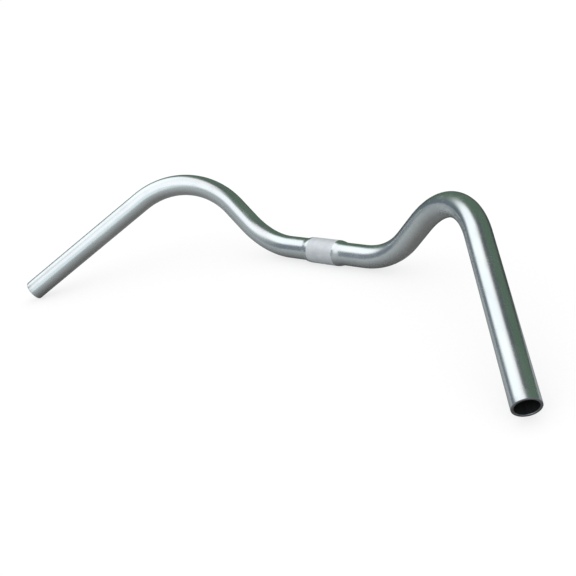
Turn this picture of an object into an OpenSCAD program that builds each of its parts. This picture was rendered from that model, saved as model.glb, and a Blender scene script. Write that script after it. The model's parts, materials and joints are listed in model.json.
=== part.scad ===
// Riser handlebar: one hollow tube, swaged out for the stem in the middle and bent twice on each side.
// The origin is the middle of the stem clamp. +X runs along the clamp to the rider's right, +Y points
// forwards and +Z up. The bar stands as it rests on a flat surface, on its clamp and both grip ends.

/* [Tube] */
// Outside diameter of the tube, which carries the grips and levers
tube_od = 22.2; // [20:0.1:24]
// Wall thickness of the tube, the same in the bends and in the clamp
tube_wall = 2.1; // [1:0.1:4]
// Chamfer on the outer edge of each cut end
end_chamfer = 0.5; // [0.1:0.1:0.9]

/* [Stem clamp] */
// Diameter of the swaged middle that the stem holds
clamp_od = 25.4; // [25:0.1:31.8]
// Length of the swaged middle at its full diameter
clamp_length = 34; // [20:1:50]
// Length of each smooth shoulder between the clamp and the tube
shoulder_length = 10; // [6:0.5:18]

/* [Centre and risers] */
// Straight length between the two lower bends, clamp and shoulders included
centre_length = 100; // [80:1:180]
// Centreline radius of the lower bends
lower_bend_radius = 82; // [50:1:110]
// Angle at which each riser climbs away from the clamp's axis
rise_angle = 43.5; // [15:0.5:75]
// Angle at which the plane of the two risers leans forwards
forward_lean = 5; // [-15:0.5:20]
// Straight length of each riser, between its two bends
riser_length = 25; // [5:1:120]

/* [Grips] */
// Centreline radius of the upper bends
upper_bend_radius = 82; // [50:1:110]
// Angle at which the grips sweep back, seen from above
backsweep = 49; // [15:0.5:80]
// Angle at which the grips slope down towards their ends
grip_drop = 23; // [0:0.5:40]
// Straight length of each grip, from the upper bend to the cut end
grip_length = 162; // [100:1:220]

/* [Hidden] */
$fn = 96;
shoulder_steps = 10; // cone bands in each of a shoulder's two arcs
bore_r = tube_od / 2 - tube_wall;

// Each stretch of tube runs this far into the next, so that they join and don't just touch. It is too
// little for the digits of a built file, so no surface moves.
weld = 0.000001;

// A built file keeps six digits of each sine and cosine. A rotation that is rounded like that also
// scales by a few parts in ten million, so the stretches of tube before and after it would miss each
// other by nanometres and stay apart. Each rotation therefore takes the nearest angle whose rounded
// sine and cosine keep every length.
kept_digits = 6;
angle_step = 0.00005;
angle_tries = 1000;
scale_error = 1e-9;

// A sine or cosine as the built file keeps it
function kept(x) =
    let (ones = pow(10, kept_digits - ceil(log(max(abs(x), scale_error)))))
        round(x * ones) / ones;

// How much a rotation by this angle scales what it turns
function stretch(angle) = abs(norm([kept(cos(angle)), kept(sin(angle))]) - 1);

// The nearest angle that keeps every length. Each try is a step further out, on the other side.
function true_angle(angle, try = 0) =
    stretch(angle + try * angle_step) < scale_error || try >= angle_tries
        ? angle + try * angle_step
        : true_angle(angle, try > 0 ? -try : 1 - try);

// A shoulder is an S-curve of two equal arcs that meet where the wall is steepest
swage_depth = (clamp_od - tube_od) / 2;
shoulder_slope = 2 * atan(swage_depth / shoulder_length);
shoulder_radius = shoulder_length / (2 * sin(shoulder_slope));

// Where a riser points, the way its lower bend curved, and the side of the riser plane
lean = true_angle(forward_lean);
lower_turn = true_angle(rise_angle);
right = [1, 0, 0];
lean_up = [0, sin(lean), cos(lean)];
riser_along = cos(lower_turn) * right + sin(lower_turn) * lean_up;
riser_inside = cos(lower_turn) * lean_up - sin(lower_turn) * right;
riser_side = cross(riser_along, riser_inside);

// The upper bend turns the tube from the riser to the grip, out of the riser plane: the tube is rolled
// about its own axis by upper_roll before it is bent by upper_turn
grip_along = [
    cos(grip_drop) * cos(backsweep),
    -cos(grip_drop) * sin(backsweep),
    -sin(grip_drop)
];
upper_turn = true_angle(acos(grip_along * riser_along));
upper_roll = true_angle(atan2(grip_along * riser_side, grip_along * riser_inside));

// Points of a circular arc from one angle to another
function arc(centre, radius, from, to) = [
    for (i = [0:shoulder_steps])
        let (a = from + (to - from) * i / shoulder_steps)
            centre + radius * [cos(a), sin(a)]
];

// A shoulder's S-curve from the clamp down to the tube, as [radius, place along the bar], moved into the
// wall by inset. Both arcs keep their centres, so the wall is as thick there as anywhere else.
function shoulder(inset) = concat(
    arc([clamp_od / 2 - shoulder_radius, clamp_length / 2],
        shoulder_radius - inset, 0, shoulder_slope),
    arc([tube_od / 2 + shoulder_radius, clamp_length / 2 + shoulder_length],
        shoulder_radius + inset, 180 + shoulder_slope, 180)
);

// The same points in the opposite order
function reversed(points) = [for (i = [len(points) - 1:-1:0]) points[i]];

// One side of the straight middle's wall, from its left end to its right end
function centre_line(inset) = concat(
    [[tube_od / 2 - inset, -centre_length / 2 - weld]],
    [for (p = reversed(shoulder(inset))) [p.x, -p.y]],
    shoulder(inset),
    [[tube_od / 2 - inset, centre_length / 2 + weld]]
);

// Cross-section of the tube
module section() {
    difference() {
        circle(d = tube_od);
        circle(r = bore_r);
    }
}

// Straight stretch along +X, with the children at its far end
module straight(length) {
    rotate([0, 90, 0]) linear_extrude(length + weld) section();
    translate([length, 0, 0]) children();
}

// Children moved from the start of a bend to its far end
module past_bend(bend_radius, angle) {
    translate([0, 0, bend_radius]) rotate([0, -angle, 0])
        translate([0, 0, -bend_radius]) children();
}

// Bend that curves from +X up towards +Z, with the children at its far end. It is a whole ring of tube
// cut off square at its start and its end, so both end faces lie exactly on the stretches beside it.
module bend(bend_radius, angle) {
    reach = 2 * (bend_radius + tube_od);
    intersection() {
        translate([0, 0, bend_radius]) rotate([90, 0, 0])
            rotate_extrude() translate([bend_radius, 0]) section();
        translate([0, -reach, -reach]) cube([reach, 2 * reach, 2 * reach]);
        past_bend(bend_radius, angle)
            translate([weld - reach, -reach, -reach]) cube([reach, 2 * reach, 2 * reach]);
    }
    past_bend(bend_radius, angle) children();
}

// Straight middle with the clamp, swaged out of the tube so that the bore widens with it
module centre() {
    rotate([0, 90, 0]) rotate_extrude()
        polygon(concat(centre_line(0), reversed(centre_line(tube_wall))));
}

// Grip, with the outer edge of its cut end chamfered so that grips and levers slide on
module grip() {
    rotate([0, 90, 0]) rotate_extrude() polygon([
        [bore_r, 0],
        [tube_od / 2, 0],
        [tube_od / 2, grip_length - end_chamfer],
        [tube_od / 2 - end_chamfer, grip_length],
        [bore_r, grip_length]
    ]);
}

// Right side of the bar, as a tube bender makes it: bend, feed, roll, bend
module right_side() {
    translate([centre_length / 2, 0, 0]) rotate([-lean, 0, 0])
        bend(lower_bend_radius, lower_turn)
            straight(riser_length)
                rotate([upper_roll, 0, 0])
                    bend(upper_bend_radius, upper_turn)
                        grip();
}

// Children on the right side of the bar, and mirrored on its left side
module both_sides() {
    children();
    mirror([1, 0, 0]) children();
}

module handlebar() {
    color("silver") {
        centre();
        both_sides() right_side();
    }
}

handlebar();
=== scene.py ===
"""Riser handlebar: satin polished aluminium tube with a matt, blasted stem clamp, open at both ends.

The tube is swept again here along the CAD part's path, finely enough that its reflections run smoothly
through the bends, with rounded rims and the slight flattening that a tube bender leaves.
"""

import json
import math

import bmesh
import bpy
from mathutils import Matrix, Vector

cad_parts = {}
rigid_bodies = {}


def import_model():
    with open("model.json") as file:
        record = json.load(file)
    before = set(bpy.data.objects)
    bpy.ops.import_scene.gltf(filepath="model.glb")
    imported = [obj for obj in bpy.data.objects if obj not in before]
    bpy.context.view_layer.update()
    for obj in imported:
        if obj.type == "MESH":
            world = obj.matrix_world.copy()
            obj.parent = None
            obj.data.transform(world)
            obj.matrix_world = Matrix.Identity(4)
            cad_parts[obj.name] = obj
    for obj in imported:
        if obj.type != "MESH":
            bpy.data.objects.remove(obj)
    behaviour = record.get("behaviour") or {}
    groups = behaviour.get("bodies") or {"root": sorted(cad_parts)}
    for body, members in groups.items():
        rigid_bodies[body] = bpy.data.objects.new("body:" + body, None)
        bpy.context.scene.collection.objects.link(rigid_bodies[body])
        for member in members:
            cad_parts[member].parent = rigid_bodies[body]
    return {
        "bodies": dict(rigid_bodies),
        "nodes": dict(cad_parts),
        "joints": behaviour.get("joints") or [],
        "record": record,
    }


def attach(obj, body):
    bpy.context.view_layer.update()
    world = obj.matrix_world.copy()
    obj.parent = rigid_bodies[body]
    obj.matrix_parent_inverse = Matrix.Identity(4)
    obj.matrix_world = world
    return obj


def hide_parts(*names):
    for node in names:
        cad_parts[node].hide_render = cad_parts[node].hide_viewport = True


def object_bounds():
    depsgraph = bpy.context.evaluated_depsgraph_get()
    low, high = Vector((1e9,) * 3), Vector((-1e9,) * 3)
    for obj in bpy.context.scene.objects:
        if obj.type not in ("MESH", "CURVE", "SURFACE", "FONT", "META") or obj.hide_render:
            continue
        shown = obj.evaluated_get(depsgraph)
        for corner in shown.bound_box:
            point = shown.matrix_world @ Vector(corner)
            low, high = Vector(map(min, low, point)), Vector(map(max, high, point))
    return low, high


MM = 0.001
X_AXIS = Vector((1, 0, 0))

# The part's driving sizes, in metres and radians
TUBE_RADIUS = 11.1 * MM
TUBE_WALL = 2.1 * MM
CLAMP_RADIUS = 12.7 * MM
CLAMP_LENGTH = 34 * MM
SHOULDER_LENGTH = 10 * MM
CENTRE_LENGTH = 100 * MM
BEND_RADIUS = 82 * MM
RISE = math.radians(43.5)
LEAN = math.radians(5)
RISER_LENGTH = 25 * MM
BACKSWEEP = math.radians(49)
GRIP_DROP = math.radians(23)
GRIP_LENGTH = 162 * MM

# Half of the bar's length along its centreline
GRIP_ALONG = (
    math.cos(GRIP_DROP) * math.cos(BACKSWEEP),
    -math.cos(GRIP_DROP) * math.sin(BACKSWEEP),
    -math.sin(GRIP_DROP),
)
RISER_ALONG = (math.cos(RISE), math.sin(RISE) * math.sin(LEAN), math.sin(RISE) * math.cos(LEAN))
UPPER_TURN = Vector(RISER_ALONG).angle(Vector(GRIP_ALONG))
HALF_LENGTH = CENTRE_LENGTH / 2 + BEND_RADIUS * (RISE + UPPER_TURN) + RISER_LENGTH + GRIP_LENGTH

# Fineness of the swept tube
SIDES = 144
BEND_STEP = math.radians(1.5)
SHOULDER_STEP = 0.5 * MM
STRAIGHT_STEP = 6 * MM
RIM_STEPS = 5
RIM_RADIUS = 0.6 * MM
FLATTENING = 0.012  # share of the radius that a bend takes off towards its inside and outside

# The slots of the tube's materials
POLISHED = 0
MATT = 1
BORE = 2

# The polish: the lengths of its sawn ends and of the stretches that grips and levers scuffed, the lengths
# over which both fade, and its base colours
SAWN_LENGTH = 0.35 * MM
SAWN_FADE = 0.2 * MM
SCUFFED_LENGTH = 70 * MM
SCUFFED_FADE = 60 * MM
POLISH_DULL = (0.85, 0.87, 0.89)
POLISH_BRIGHT = (0.93, 0.94, 0.95)
SMUDGED = (0.80, 0.82, 0.83)
SAWN = (0.42, 0.43, 0.45)

# Its roughness, and how much each kind of mark adds to it
POLISH_ROUGHNESS = (0.20, 0.25)
SAWN_ROUGHNESS = 0.15
SMUDGE_ROUGHNESS = 0.09
BUFFING_ROUGHNESS = 0.03
SCRATCH_ROUGHNESS = 0.12

# The depth of its scratches, and how high the buffing and the clouds stand as multiples of that
SCRATCH_DEPTH = 0.0015 * MM
BUFFING_HEIGHT = 0.35
CLOUD_HEIGHT = 4.0

# The blasted clamp
BLAST_DULL = (0.76, 0.79, 0.83)
BLAST_BRIGHT = (0.88, 0.90, 0.93)
BLAST_PITS = (0.55, 0.58, 0.62)
BLAST_ROUGHNESS = (0.62, 0.50)
RUBBED_ROUGHNESS = 0.14
BLAST_DEPTH = 0.05 * MM

# The bore, its colours painted near black for the shade deep inside the tube
BORE_BARE_IN_PAINTED_SHADE = (0.034, 0.036, 0.038)
BORE_STAINED_IN_PAINTED_SHADE = (0.014, 0.015, 0.016)
BORE_STREAKS_IN_PAINTED_SHADE = (0.065, 0.067, 0.070)
BORE_ROUGHNESS = (0.45, 0.70)
STREAK_DEPTH = 0.03 * MM

# The camera, in millimetres, from a symmetric bar fitted to the photograph
CAMERA_PLACE = (654.0, -592.5, 382.5)
CAMERA_FORWARD = (-0.7043, 0.5725, -0.4199)
CAMERA_UP = (-0.1207, 0.4863, 0.8654)
CAMERA_LENS = 60.865
CAMERA_SENSOR = 36

# The background, and the floor as the camera and as the metal sees it. The camera sees part of its white
# as a glow, so that the bar's shadow on it stays soft. In the metal it is a grey table top with a painted
# sheen that makes it paler at a low angle, and a painted shadow of the bar on it, dark just ahead of the
# bar.
WHITE = (1.0, 1.0, 1.0)
FLOOR_SIZE = 60
FLOOR_SEEN = (0.3, 0.3, 0.3)
FLOOR_GLOW = 0.72
FLOOR_MIRRORED = (0.18, 0.177, 0.172)
FLOOR_SHEEN = (0.38, 0.425, 0.43)
# Painted shadow: the dark colour of the bar's shadow on the floor in the metal, and the y range over
# which it fades in
PAINTED_SHADOW_AHEAD = (0.045, 0.060, 0.052)
PAINTED_SHADOW_EDGE = (5 * MM, 60 * MM)

# What the metal mirrors besides the white background, as in the photograph: a dim room with a window, a
# lamp and pale and dark walls. Each is a round patch of sky (azimuth, elevation, radius, soft edge) in
# degrees and a colour, over the ones before it. Azimuth 0 is straight ahead of the bar and 90 is to the
# rider's right. The room leaves the white background open overhead.
MIRRORED = {
    "dim room": (50, -70, 152, 16, (0.080, 0.132, 0.094)),
    "far wall": (112, 2, 42, 30, (0.33, 0.36, 0.36)),
    "pale wall": (170, 8, 52, 30, (0.37, 0.41, 0.42)),
    "lamp behind the camera": (172, 48, 25, 16, (1.02, 1.08, 1.11)),
    "bright doorway": (158, 15, 15, 12, (0.76, 0.87, 0.90)),
    "dark doorway": (-122, 10, 24, 16, (0.15, 0.18, 0.21)),
    "dark shelf": (-86, 5, 13, 12, (0.11, 0.14, 0.17)),
    "window": (-92, 48, 25, 14, (1.05, 1.12, 1.14)),
    "dark beam": (2, 66, 11, 12, (0.075, 0.085, 0.100)),
}


# The tube's path

class Stop:
    """A place on the tube's centreline. Its frame's columns are the way along, and two ways across."""

    def __init__(self, point, frame, travelled, bend=0.0, inwards=None):
        self.point = point
        self.frame = frame
        self.travelled = travelled  # along the centreline, from the clamp's middle
        self.bend = bend  # from 0 where the tube is straight to 1 in the middle of a bend
        self.inwards = inwards  # towards the bend's centre

    def mirrored(self):
        """The same place on the bar's left side, going the same way along the bar."""
        mirror = Matrix.Diagonal((-1, 1, 1))
        inwards = mirror @ self.inwards if self.inwards else None
        frame = mirror @ self.frame @ mirror
        return Stop(mirror @ self.point, frame, -self.travelled, self.bend, inwards)


def add_straight(path, length, step):
    """Goes straight on from the path's last stop."""
    start = path[-1]
    steps = max(1, math.ceil(length / step))
    for i in range(1, steps + 1):
        gone = length * i / steps
        point = start.point + start.frame.col[0] * gone
        path.append(Stop(point, start.frame, start.travelled + gone))


def add_bend(path, angle, axis):
    """Goes on from the path's last stop and turns about axis."""
    start = path[-1]
    steps = math.ceil(angle / BEND_STEP)
    centre = start.point + axis.cross(start.frame.col[0]) * BEND_RADIUS
    for i in range(1, steps + 1):
        share = i / steps
        turn = Matrix.Rotation(angle * share, 3, axis)
        point = centre + turn @ (start.point - centre)
        travelled = start.travelled + BEND_RADIUS * angle * share
        inwards = (centre - point).normalized()
        path.append(Stop(point, turn @ start.frame, travelled, math.sin(math.pi * share), inwards))


def right_path():
    """Stops from the clamp's middle to the start of the right end's rim."""
    path = [Stop(Vector((0, 0, 0)), Matrix.Identity(3), 0.0)]
    swaged = CLAMP_LENGTH / 2 + SHOULDER_LENGTH
    add_straight(path, CLAMP_LENGTH / 2, STRAIGHT_STEP)
    add_straight(path, SHOULDER_LENGTH, SHOULDER_STEP)
    add_straight(path, CENTRE_LENGTH / 2 - swaged, STRAIGHT_STEP)

    lean_up = Vector((0, math.sin(LEAN), math.cos(LEAN)))
    add_bend(path, RISE, X_AXIS.cross(lean_up))
    add_straight(path, RISER_LENGTH, STRAIGHT_STEP)

    add_bend(path, UPPER_TURN, Vector(RISER_ALONG).cross(Vector(GRIP_ALONG)).normalized())
    add_straight(path, GRIP_LENGTH - RIM_RADIUS, STRAIGHT_STEP)
    return path


def swaged_out(travelled):
    """How much wider than the tube the bar is, at a distance from the clamp's middle."""
    past = (abs(travelled) - CLAMP_LENGTH / 2) / SHOULDER_LENGTH
    past = min(max(past, 0.0), 1.0)
    return (CLAMP_RADIUS - TUBE_RADIUS) * (1 + math.cos(math.pi * past)) / 2


# The tube's mesh

def ring(bm, unbent, stop, radius, ahead=0.0):
    """A ring of vertices round a stop, or a little ahead of it.

    A bend pulls the ring in towards its centre and away from it. unbent keeps where each vertex was
    before the tube was bent, which the materials use.
    """
    along = stop.frame.col[0]
    vertices = []
    for i in range(SIDES):
        turn = 2 * math.pi * i / SIDES
        across = (math.cos(turn) * radius, math.sin(turn) * radius)
        place = stop.frame.col[1] * across[0] + stop.frame.col[2] * across[1]
        if stop.inwards:
            place -= stop.inwards * (place.dot(stop.inwards) * FLATTENING * stop.bend)
        vertex = bm.verts.new(stop.point + along * ahead + place)
        vertex[unbent] = (stop.travelled + ahead, *across)
        vertices.append(vertex)
    return vertices


def skin(bm, rings, slots):
    """Quads between each ring and the next, one material slot for each band."""
    for first, second, slot in zip(rings, rings[1:], slots):
        for i in range(SIDES):
            j = (i + 1) % SIDES
            face = bm.faces.new((first[i], first[j], second[j], second[i]))
            face.material_index = slot
            face.smooth = True


def rim(bm, unbent, stop, side):
    """Rings over the rounded edge of a cut end, from the outside to the bore."""
    wall_middle = TUBE_RADIUS - TUBE_WALL / 2
    flat = TUBE_WALL / 2 - RIM_RADIUS
    quarter = [math.pi / 2 * i / RIM_STEPS for i in range(1, RIM_STEPS + 1)]
    corner = [(flat + RIM_RADIUS * math.cos(a), RIM_RADIUS * math.sin(a)) for a in quarter]
    outer = [ring(bm, unbent, stop, wall_middle + out, side * ahead) for out, ahead in corner]
    inner = [ring(bm, unbent, stop, wall_middle - out, side * ahead) for out, ahead in reversed(corner)]
    return outer + inner


def band_slot(first, second):
    """The material slot of the outside between two stops."""
    middle = (first.travelled + second.travelled) / 2
    return MATT if abs(middle) < CLAMP_LENGTH / 2 else POLISHED


def build_tube():
    """One closed mesh: the outside from left to right, over the rim, and back through the bore."""
    right = right_path()
    path = [stop.mirrored() for stop in reversed(right[1:])] + right
    bm = bmesh.new()
    unbent = bm.verts.layers.float_vector.new("unbent")
    outside = []
    inside = []
    for stop in path:
        radius = TUBE_RADIUS + swaged_out(stop.travelled)
        outside.append(ring(bm, unbent, stop, radius))
        inside.append(ring(bm, unbent, stop, radius - TUBE_WALL))
    right_rim = rim(bm, unbent, path[-1], 1)
    left_rim = rim(bm, unbent, path[0], -1)

    skin(bm, outside, [band_slot(*pair) for pair in zip(path, path[1:])])
    skin(bm, [outside[-1], *right_rim, inside[-1]], [POLISHED] * (len(right_rim) + 1))
    skin(bm, inside[::-1], [BORE] * (len(path) - 1))
    skin(bm, [inside[0], *left_rim[::-1], outside[0]], [POLISHED] * (len(left_rim) + 1))
    bmesh.ops.recalc_face_normals(bm, faces=bm.faces)

    mesh = bpy.data.meshes.new("tube")
    bm.to_mesh(mesh)
    bm.free()
    piece = bpy.data.objects.new("tube", mesh)
    bpy.context.collection.objects.link(piece)
    return piece


# Materials

def new_material(name, roughness, metallic):
    """A material with its node tree and its shader."""
    material = bpy.data.materials.new(name)
    material.use_nodes = True
    tree = material.node_tree
    shader = tree.nodes["Principled BSDF"]
    shader.inputs["Metallic"].default_value = metallic
    shader.inputs["Roughness"].default_value = roughness
    return material, tree, shader


def unbent_place(tree):
    """Where a point was before the tube was bent: along the tube, and two ways across."""
    place = tree.nodes.new("ShaderNodeAttribute")
    place.attribute_name = "unbent"
    return place.outputs["Vector"]


def noise(tree, along, across, detail):
    """Noise on the unbent tube, from 0 to 1, with grains of a size along the tube and across it."""
    scaled = tree.nodes.new("ShaderNodeVectorMath")
    scaled.operation = "DIVIDE"
    tree.links.new(unbent_place(tree), scaled.inputs[0])
    scaled.inputs[1].default_value = (along, across, across)
    texture = tree.nodes.new("ShaderNodeTexNoise")
    texture.inputs["Scale"].default_value = 1.0
    texture.inputs["Detail"].default_value = detail
    tree.links.new(scaled.outputs["Vector"], texture.inputs["Vector"])
    return texture.outputs["Fac"]


def ranged(tree, value, given, wanted=(0.0, 1.0)):
    """Value mapped from one range to another, and kept in it."""
    node = tree.nodes.new("ShaderNodeMapRange")
    tree.links.new(value, node.inputs["Value"])
    node.inputs["From Min"].default_value = given[0]
    node.inputs["From Max"].default_value = given[1]
    node.inputs["To Min"].default_value = wanted[0]
    node.inputs["To Max"].default_value = wanted[1]
    return node.outputs["Result"]


def combined(tree, operation, first, second=0.0):
    """One or two values, each a socket or a number, put through a Math node's operation."""
    node = tree.nodes.new("ShaderNodeMath")
    node.operation = operation
    for socket, value in zip(node.inputs, (first, second)):
        if isinstance(value, float):
            socket.default_value = value
        else:
            tree.links.new(value, socket)
    return node.outputs["Value"]


def mixed(tree, share, first, second):
    """Mixes two colours, each a socket or a plain colour."""
    mix = tree.nodes.new("ShaderNodeMix")
    mix.data_type = "RGBA"
    tree.links.new(share, mix.inputs["Factor"])
    for name, colour in (("A", first), ("B", second)):
        if isinstance(colour, tuple):
            mix.inputs[name].default_value = (*colour, 1)
        else:
            tree.links.new(colour, mix.inputs[name])
    return mix.outputs["Result"]


def dent(tree, shader, height, depth):
    """Bump in which a height of 1 is depth metres high."""
    bump = tree.nodes.new("ShaderNodeBump")
    bump.inputs["Strength"].default_value = 1.0
    bump.inputs["Distance"].default_value = depth
    tree.links.new(height, bump.inputs["Height"])
    tree.links.new(bump.outputs["Normal"], shader.inputs["Normal"])


def near_the_ends(tree, length, fade):
    """1 on a length of tube at each end, fading to 0 past it."""
    parts = tree.nodes.new("ShaderNodeSeparateXYZ")
    tree.links.new(unbent_place(tree), parts.inputs["Vector"])
    travelled = combined(tree, "ABSOLUTE", parts.outputs["X"])
    start = HALF_LENGTH - length
    return ranged(tree, travelled, (start - fade, start))


def polished_aluminium():
    """Buffed round the tube, with faint clouds, handling smudges and hairline scratches along it.

    Grips and levers have scuffed its last stretch a little, and the sawn ends are duller.
    """
    material, tree, shader = new_material("polished_aluminium", roughness=0.2, metallic=1.0)
    clouds = noise(tree, along=45 * MM, across=14 * MM, detail=3.0)
    smudges = noise(tree, along=16 * MM, across=9 * MM, detail=5.0)
    buffing = noise(tree, along=0.25 * MM, across=9 * MM, detail=2.0)
    scratches = ranged(tree, noise(tree, along=26 * MM, across=0.22 * MM, detail=1.0), (0.70, 0.74))
    sawn = near_the_ends(tree, SAWN_LENGTH, SAWN_FADE)

    colour = mixed(tree, ranged(tree, clouds, (0.3, 0.7)), POLISH_DULL, POLISH_BRIGHT)
    colour = mixed(tree, ranged(tree, smudges, (0.55, 0.75), (0.0, 0.5)), colour, SMUDGED)
    colour = mixed(tree, sawn, colour, SAWN)
    tree.links.new(colour, shader.inputs["Base Color"])

    scuffed = near_the_ends(tree, SCUFFED_LENGTH, SCUFFED_FADE)
    scratches = combined(tree, "MULTIPLY", scratches, ranged(tree, scuffed, (0.0, 1.0), (0.4, 1.0)))
    roughness = ranged(tree, clouds, (0.3, 0.7), POLISH_ROUGHNESS)
    for rougher in (
        combined(tree, "MULTIPLY", sawn, SAWN_ROUGHNESS),
        ranged(tree, smudges, (0.5, 0.75), (0.0, SMUDGE_ROUGHNESS)),
        ranged(tree, buffing, (0.4, 0.7), (0.0, BUFFING_ROUGHNESS)),
        combined(tree, "MULTIPLY", scratches, SCRATCH_ROUGHNESS),
    ):
        roughness = combined(tree, "ADD", roughness, rougher)
    tree.links.new(roughness, shader.inputs["Roughness"])

    height = combined(tree, "SUBTRACT", combined(tree, "MULTIPLY", buffing, BUFFING_HEIGHT), scratches)
    height = combined(tree, "ADD", height, combined(tree, "MULTIPLY", clouds, CLOUD_HEIGHT))
    dent(tree, shader, height, SCRATCH_DEPTH)
    return material


def matt_aluminium():
    """Blasted with fine beads, so that the stem grips it, and a little rubbed in places."""
    material, tree, shader = new_material("matt_aluminium", roughness=0.55, metallic=0.45)
    pits = noise(tree, along=0.45 * MM, across=0.45 * MM, detail=4.0)
    clouds = noise(tree, along=9 * MM, across=7 * MM, detail=4.0)
    rubbed = noise(tree, along=2.2 * MM, across=8 * MM, detail=3.0)

    colour = mixed(tree, ranged(tree, clouds, (0.35, 0.65)), BLAST_DULL, BLAST_BRIGHT)
    colour = mixed(tree, ranged(tree, pits, (0.35, 0.65), (0.25, 0.0)), colour, BLAST_PITS)
    tree.links.new(colour, shader.inputs["Base Color"])

    roughness = ranged(tree, pits, (0.3, 0.7), BLAST_ROUGHNESS)
    smoother = ranged(tree, rubbed, (0.55, 0.75), (0.0, RUBBED_ROUGHNESS))
    roughness = combined(tree, "SUBTRACT", roughness, smoother)
    tree.links.new(roughness, shader.inputs["Roughness"])
    dent(tree, shader, pits, BLAST_DEPTH)
    return material


def bore_in_painted_shade():
    """Dull drawn metal, streaked along the tube and stained, and painted near black for the shade inside
    the tube.
    """
    material, tree, shader = new_material("bore_in_painted_shade", roughness=0.6, metallic=0.5)
    streaks = noise(tree, along=30 * MM, across=0.5 * MM, detail=3.0)
    stains = noise(tree, along=12 * MM, across=8 * MM, detail=5.0)
    # Painted shade: the bore's colours are near black for the shade inside the tube
    colour = mixed(tree, ranged(tree, stains, (0.35, 0.7)), BORE_BARE_IN_PAINTED_SHADE, BORE_STAINED_IN_PAINTED_SHADE)
    colour = mixed(tree, ranged(tree, streaks, (0.5, 0.75), (0.0, 0.5)), colour, BORE_STREAKS_IN_PAINTED_SHADE)
    tree.links.new(colour, shader.inputs["Base Color"])
    tree.links.new(ranged(tree, stains, (0.3, 0.7), BORE_ROUGHNESS), shader.inputs["Roughness"])
    dent(tree, shader, streaks, STREAK_DEPTH)
    return material


# Surroundings

def towards(azimuth, elevation):
    """The direction of an azimuth and an elevation in degrees."""
    azimuth = math.radians(azimuth)
    elevation = math.radians(elevation)
    level = math.cos(elevation)
    return Vector((math.sin(azimuth) * level, math.cos(azimuth) * level, math.sin(elevation)))


def layer(tree, direction, below, azimuth, elevation, radius, edge, colour):
    """Lays a round patch of colour, with a soft edge, over the colour below."""
    dot = tree.nodes.new("ShaderNodeVectorMath")
    dot.operation = "DOT_PRODUCT"
    tree.links.new(direction, dot.inputs[0])
    dot.inputs[1].default_value = towards(azimuth, elevation)
    soft = tree.nodes.new("ShaderNodeMapRange")
    soft.interpolation_type = "SMOOTHSTEP"
    soft.inputs["From Min"].default_value = math.cos(math.radians(radius + edge / 2))
    soft.inputs["From Max"].default_value = math.cos(math.radians(radius - edge / 2))
    tree.links.new(dot.outputs["Value"], soft.inputs["Value"])
    return mixed(tree, soft.outputs["Result"], below, colour)


def build_world():
    """White to all rays but the metal's reflections, which find the room's patches on it."""
    world = bpy.data.worlds.new("studio")
    bpy.context.scene.world = world
    world.use_nodes = True
    tree = world.node_tree
    path = tree.nodes.new("ShaderNodeLightPath")
    direction = tree.nodes.new("ShaderNodeTexCoord").outputs["Generated"]
    colour = WHITE
    for azimuth, elevation, radius, edge, paint in MIRRORED.values():
        colour = layer(tree, direction, colour, azimuth, elevation, radius, edge, paint)
    colour = mixed(tree, path.outputs["Is Glossy Ray"], WHITE, colour)
    tree.links.new(colour, tree.nodes["Background"].inputs["Color"])


def build_floor(height):
    """White with the bar's shadow on it for the camera, and in the metal's reflections a table top with a
    painted sheen and a painted shadow just ahead of the bar.
    """
    bpy.ops.mesh.primitive_plane_add(size=FLOOR_SIZE, location=(0, 0, height))
    floor = bpy.context.object
    floor.name = "floor"
    material, tree, shader = new_material("floor", roughness=1.0, metallic=0.0)
    shader.inputs["Specular IOR Level"].default_value = 0.0
    path = tree.nodes.new("ShaderNodeLightPath")
    angle = tree.nodes.new("ShaderNodeLayerWeight")
    # Painted sheen: the floor's colour in the metal turns paler towards a low angle
    colour = mixed(tree, angle.outputs["Facing"], FLOOR_MIRRORED, FLOOR_SHEEN)
    place = tree.nodes.new("ShaderNodeSeparateXYZ")
    tree.links.new(tree.nodes.new("ShaderNodeTexCoord").outputs["Object"], place.inputs["Vector"])
    # Painted shadow: the floor in the metal turns dark just ahead of the bar, where the bar's shadow
    # falls
    colour = mixed(tree, ranged(tree, place.outputs["Y"], PAINTED_SHADOW_EDGE), colour, PAINTED_SHADOW_AHEAD)
    colour = mixed(tree, path.outputs["Is Camera Ray"], colour, FLOOR_SEEN)
    tree.links.new(colour, shader.inputs["Base Color"])
    glow = combined(tree, "MULTIPLY", path.outputs["Is Camera Ray"], FLOOR_GLOW)
    shader.inputs["Emission Color"].default_value = (*WHITE, 1)
    tree.links.new(glow, shader.inputs["Emission Strength"])
    floor.data.materials.append(material)


def build_camera():
    """The camera where the photographer's was."""
    forward = Vector(CAMERA_FORWARD).normalized()
    right = forward.cross(Vector(CAMERA_UP)).normalized()
    up = right.cross(forward)
    data = bpy.data.cameras.new("camera")
    data.sensor_width = CAMERA_SENSOR
    data.lens = CAMERA_LENS
    camera = bpy.data.objects.new("camera", data)
    bpy.context.collection.objects.link(camera)
    rotation = Matrix((right, up, -forward)).transposed().to_4x4()
    camera.matrix_world = Matrix.Translation(Vector(CAMERA_PLACE) * MM) @ rotation
    bpy.context.scene.camera = camera


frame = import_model()
cad_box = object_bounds()
bpy.context.scene.view_settings.view_transform = "Standard"

tube = build_tube()
for finish in (polished_aluminium(), matt_aluminium(), bore_in_painted_shade()):
    tube.data.materials.append(finish)
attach(tube, "root")
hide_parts("handlebar")

build_world()
build_floor(cad_box[0].z)
build_camera()
